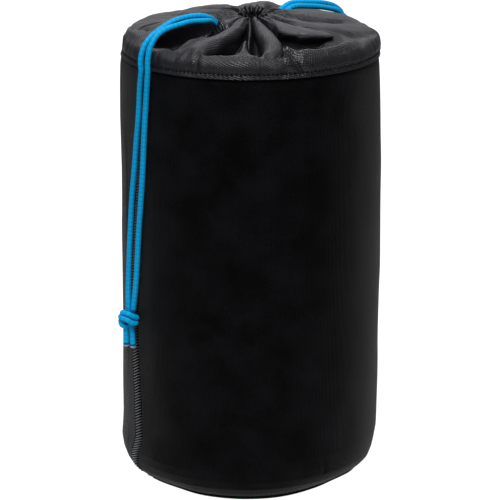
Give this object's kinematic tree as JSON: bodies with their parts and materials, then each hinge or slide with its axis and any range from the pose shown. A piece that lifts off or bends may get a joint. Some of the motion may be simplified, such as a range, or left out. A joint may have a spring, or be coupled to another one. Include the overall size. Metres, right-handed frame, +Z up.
{
  "type": "lens pouch",
  "caption": "Round padded neoprene pouch with a sewn-in base and a woven drawstring collar that gathers shut over the mouth; knotted cord tails hang at front and back.",
  "frame": {"origin": "centre of the base panel's underside, on the surface the pouch stands on", "axes": "+Z up along the pouch to its mouth, +X to the right and -Y to the front as the picture shows it"},
  "size_m": [0.1254, 0.1248, 0.2292],
  "materials": {
    "knit_facing": "matt brushed knit laminated to foam",
    "foam": "closed-cell foam core",
    "lining": "smooth knit lining",
    "collar_cloth": "plain woven nylon, slight sheen",
    "thread": "polyester sewing thread",
    "drawcord": "braided bright blue cord"
  },
  "bodies": {
    "root": {"wall_facing": "knit_facing", "wall_foam": "foam", "wall_lining": "lining", "base_facing": "knit_facing", "base_foam": "foam", "base_lining": "lining", "side_seam_thread": "thread", "base_seam_thread": "thread", "collar_seam_thread": "thread", "collar_band": "collar_cloth", "front_cord_loop": "drawcord", "rear_cord_loop": "drawcord"},
    "collar_pleat_01": {"collar_pleat_01": "collar_cloth"},
    "collar_tuck_01": {"collar_tuck_01": "collar_cloth"},
    "collar_pleat_02": {"collar_pleat_02": "collar_cloth", "front_buttonhole": "thread", "front_cord_over_a": "drawcord", "front_cord_over_b": "drawcord"},
    "collar_tuck_02": {"collar_tuck_02": "collar_cloth"},
    "collar_pleat_03": {"collar_pleat_03": "collar_cloth"},
    "collar_tuck_03": {"collar_tuck_03": "collar_cloth"},
    "collar_pleat_04": {"collar_pleat_04": "collar_cloth"},
    "collar_tuck_04": {"collar_tuck_04": "collar_cloth"},
    "collar_pleat_05": {"collar_pleat_05": "collar_cloth"},
    "collar_tuck_05": {"collar_tuck_05": "collar_cloth"},
    "collar_pleat_06": {"collar_pleat_06": "collar_cloth"},
    "collar_tuck_06": {"collar_tuck_06": "collar_cloth"},
    "collar_pleat_07": {"collar_pleat_07": "collar_cloth"},
    "collar_tuck_07": {"collar_tuck_07": "collar_cloth"},
    "collar_pleat_08": {"collar_pleat_08": "collar_cloth", "rear_buttonhole": "thread", "rear_cord_over_a": "drawcord", "rear_cord_over_b": "drawcord"},
    "collar_tuck_08": {"collar_tuck_08": "collar_cloth"},
    "collar_pleat_09": {"collar_pleat_09": "collar_cloth"},
    "collar_tuck_09": {"collar_tuck_09": "collar_cloth"},
    "collar_pleat_10": {"collar_pleat_10": "collar_cloth"},
    "collar_tuck_10": {"collar_tuck_10": "collar_cloth"},
    "collar_pleat_11": {"collar_pleat_11": "collar_cloth"},
    "collar_tuck_11": {"collar_tuck_11": "collar_cloth"},
    "collar_pleat_12": {"collar_pleat_12": "collar_cloth"},
    "collar_tuck_12": {"collar_tuck_12": "collar_cloth"},
    "front_tail": {"front_cord_hang_a": "drawcord", "front_cord_hang_b": "drawcord"},
    "front_knot": {"front_knot": "drawcord", "front_cord_end_a": "drawcord", "front_cord_end_b": "drawcord"},
    "rear_tail": {"rear_cord_hang_a": "drawcord", "rear_cord_hang_b": "drawcord"},
    "rear_knot": {"rear_knot": "drawcord", "rear_cord_end_a": "drawcord", "rear_cord_end_b": "drawcord"}
  },
  "joints": [
    {"name": "mouth_open", "type": "hinge", "parent": "root", "child": "collar_pleat_01", "pos_m": [-0.05148, -0.02185, 0.2133], "axis": [0.3907, -0.9205, 0], "range_deg": [0, 85], "deforming": ["front_cord_over_a", "front_cord_over_b", "front_cord_loop", "rear_cord_over_a", "rear_cord_over_b", "rear_cord_loop"]},
    {"name": "pleat_02_lift", "type": "hinge", "parent": "root", "child": "collar_pleat_02", "pos_m": [-0.03079, -0.04565, 0.2133], "axis": [0.829, -0.5592, 0], "range_deg": [0, 85]},
    {"name": "pleat_03_lift", "type": "hinge", "parent": "root", "child": "collar_pleat_03", "pos_m": [-0.00445, -0.05656, 0.2133], "axis": [0.9969, -0.0785, 0], "range_deg": [0, 85]},
    {"name": "pleat_04_lift", "type": "hinge", "parent": "root", "child": "collar_pleat_04", "pos_m": [0.0139, -0.05576, 0.2133], "axis": [0.9703, 0.2419, 0], "range_deg": [0, 85]},
    {"name": "pleat_05_lift", "type": "hinge", "parent": "root", "child": "collar_pleat_05", "pos_m": [0.03594, -0.04062, 0.2133], "axis": [0.749, 0.6626, 0], "range_deg": [0, 85]},
    {"name": "pleat_06_lift", "type": "hinge", "parent": "root", "child": "collar_pleat_06", "pos_m": [0.05449, -0.01258, 0.2133], "axis": [0.225, 0.9744, 0], "range_deg": [0, 85]},
    {"name": "pleat_07_lift", "type": "hinge", "parent": "root", "child": "collar_pleat_07", "pos_m": [0.054, 0.01549, 0.2133], "axis": [-0.2756, 0.9613, 0], "range_deg": [0, 85]},
    {"name": "pleat_08_lift", "type": "hinge", "parent": "root", "child": "collar_pleat_08", "pos_m": [0.03685, 0.04092, 0.2133], "axis": [-0.7431, 0.6691, 0], "range_deg": [0, 85]},
    {"name": "pleat_09_lift", "type": "hinge", "parent": "root", "child": "collar_pleat_09", "pos_m": [0.00576, 0.05477, 0.2133], "axis": [-0.9945, 0.1045, 0], "range_deg": [0, 85]},
    {"name": "pleat_10_lift", "type": "hinge", "parent": "root", "child": "collar_pleat_10", "pos_m": [-0.02684, 0.04843, 0.2133], "axis": [-0.8746, -0.4848, 0], "range_deg": [0, 85]},
    {"name": "pleat_11_lift", "type": "hinge", "parent": "root", "child": "collar_pleat_11", "pos_m": [-0.04836, 0.02906, 0.2133], "axis": [-0.515, -0.8572, 0], "range_deg": [0, 85]},
    {"name": "pleat_12_lift", "type": "hinge", "parent": "root", "child": "collar_pleat_12", "pos_m": [-0.0562, 0.00492, 0.2133], "axis": [-0.0872, -0.9962, 0], "range_deg": [0, 85]},
    {"name": "tuck_01_spread", "type": "hinge", "parent": "collar_pleat_01", "child": "collar_tuck_01", "pos_m": [-0.0572, -0.009, 0.2123], "axis": [0.9903, 0.1392, 0], "range_deg": [0, 72.85]},
    {"name": "tuck_02_spread", "type": "hinge", "parent": "collar_pleat_02", "child": "collar_tuck_02", "pos_m": [-0.04504, -0.03639, 0.2123], "axis": [0.788, 0.6157, 0], "range_deg": [0, 70.74]},
    {"name": "tuck_03_spread", "type": "hinge", "parent": "collar_pleat_03", "child": "collar_tuck_03", "pos_m": [-0.01505, -0.05592, 0.2123], "axis": [0.2756, 0.9613, 0], "range_deg": [0, 67.29]},
    {"name": "tuck_04_spread", "type": "hinge", "parent": "collar_pleat_04", "child": "collar_tuck_04", "pos_m": [0.008, -0.05735, 0.2123], "axis": [-0.1219, 0.9925, 0], "range_deg": [0, 74.22]},
    {"name": "tuck_05_spread", "type": "hinge", "parent": "collar_pleat_05", "child": "collar_tuck_05", "pos_m": [0.02164, -0.05371, 0.2123], "axis": [-0.3584, 0.9336, 0], "range_deg": [0, 79.61]},
    {"name": "tuck_06_spread", "type": "hinge", "parent": "collar_pleat_06", "child": "collar_tuck_06", "pos_m": [0.05157, -0.02634, 0.2123], "axis": [-0.8829, 0.4695, 0], "range_deg": [0, 64.52]},
    {"name": "tuck_07_spread", "type": "hinge", "parent": "collar_pleat_07", "child": "collar_tuck_07", "pos_m": [0.05783, 0.00297, 0.2123], "axis": [-0.9994, -0.0349, 0], "range_deg": [0, 70.63]},
    {"name": "tuck_08_spread", "type": "hinge", "parent": "collar_pleat_08", "child": "collar_tuck_08", "pos_m": [0.04967, 0.02977, 0.2123], "axis": [-0.866, -0.5, 0], "range_deg": [0, 71.85]},
    {"name": "tuck_09_spread", "type": "hinge", "parent": "collar_pleat_09", "child": "collar_tuck_09", "pos_m": [0.02268, 0.05328, 0.2123], "axis": [-0.4067, -0.9135, 0], "range_deg": [0, 67.37]},
    {"name": "tuck_10_spread", "type": "hinge", "parent": "collar_pleat_10", "child": "collar_tuck_10", "pos_m": [-0.01297, 0.05644, 0.2123], "axis": [0.2079, -0.9781, 0], "range_deg": [0, 67.36]},
    {"name": "tuck_11_spread", "type": "hinge", "parent": "collar_pleat_11", "child": "collar_tuck_11", "pos_m": [-0.04231, 0.03954, 0.2123], "axis": [0.7193, -0.6947, 0], "range_deg": [0, 68.4]},
    {"name": "tuck_12_spread", "type": "hinge", "parent": "collar_pleat_12", "child": "collar_tuck_12", "pos_m": [-0.05536, 0.01699, 0.2123], "axis": [0.9511, -0.309, 0], "range_deg": [0, 72.79]},
    {"name": "front_tail_swing", "type": "hinge", "parent": "root", "child": "front_tail", "pos_m": [-0.0479, -0.04215, 0.2048], "axis": [-0.66, 0.7513, 0], "range_deg": [0, 70]},
    {"name": "front_cord_draw", "type": "slide", "parent": "front_tail", "child": "front_knot", "axis": [0.0691, -0.1079, 0.9918], "range_m": [0, 0.112], "deforming": ["front_cord_hang_a", "front_cord_hang_b"]},
    {"name": "rear_tail_swing", "type": "hinge", "parent": "root", "child": "rear_tail", "pos_m": [0.04719, 0.04294, 0.2048], "axis": [0.673, -0.7396, 0], "range_deg": [0, 70]},
    {"name": "rear_cord_draw", "type": "slide", "parent": "rear_tail", "child": "rear_knot", "axis": [0.082, -0.0707, 0.9941], "range_m": [0, 0.112], "deforming": ["rear_cord_hang_a", "rear_cord_hang_b"]}
  ],
  "couplings": [
    {"joint": "pleat_02_lift", "follows": "mouth_open", "ratio": 1},
    {"joint": "pleat_03_lift", "follows": "mouth_open", "ratio": 1},
    {"joint": "pleat_04_lift", "follows": "mouth_open", "ratio": 1},
    {"joint": "pleat_05_lift", "follows": "mouth_open", "ratio": 1},
    {"joint": "pleat_06_lift", "follows": "mouth_open", "ratio": 1},
    {"joint": "pleat_07_lift", "follows": "mouth_open", "ratio": 1},
    {"joint": "pleat_08_lift", "follows": "mouth_open", "ratio": 1},
    {"joint": "pleat_09_lift", "follows": "mouth_open", "ratio": 1},
    {"joint": "pleat_10_lift", "follows": "mouth_open", "ratio": 1},
    {"joint": "pleat_11_lift", "follows": "mouth_open", "ratio": 1},
    {"joint": "pleat_12_lift", "follows": "mouth_open", "ratio": 1},
    {"joint": "tuck_01_spread", "follows": "mouth_open", "ratio": 0.85694},
    {"joint": "tuck_02_spread", "follows": "mouth_open", "ratio": 0.83212},
    {"joint": "tuck_03_spread", "follows": "mouth_open", "ratio": 0.79153},
    {"joint": "tuck_04_spread", "follows": "mouth_open", "ratio": 0.87306},
    {"joint": "tuck_05_spread", "follows": "mouth_open", "ratio": 0.93647},
    {"joint": "tuck_06_spread", "follows": "mouth_open", "ratio": 0.75894},
    {"joint": "tuck_07_spread", "follows": "mouth_open", "ratio": 0.83082},
    {"joint": "tuck_08_spread", "follows": "mouth_open", "ratio": 0.84518},
    {"joint": "tuck_09_spread", "follows": "mouth_open", "ratio": 0.79247},
    {"joint": "tuck_10_spread", "follows": "mouth_open", "ratio": 0.79235},
    {"joint": "tuck_11_spread", "follows": "mouth_open", "ratio": 0.80459},
    {"joint": "tuck_12_spread", "follows": "mouth_open", "ratio": 0.85623},
    {"joint": "front_cord_draw", "follows": "mouth_open", "m_per_rad": 0.075489},
    {"joint": "rear_cord_draw", "follows": "mouth_open", "m_per_rad": 0.075489}
  ]
}
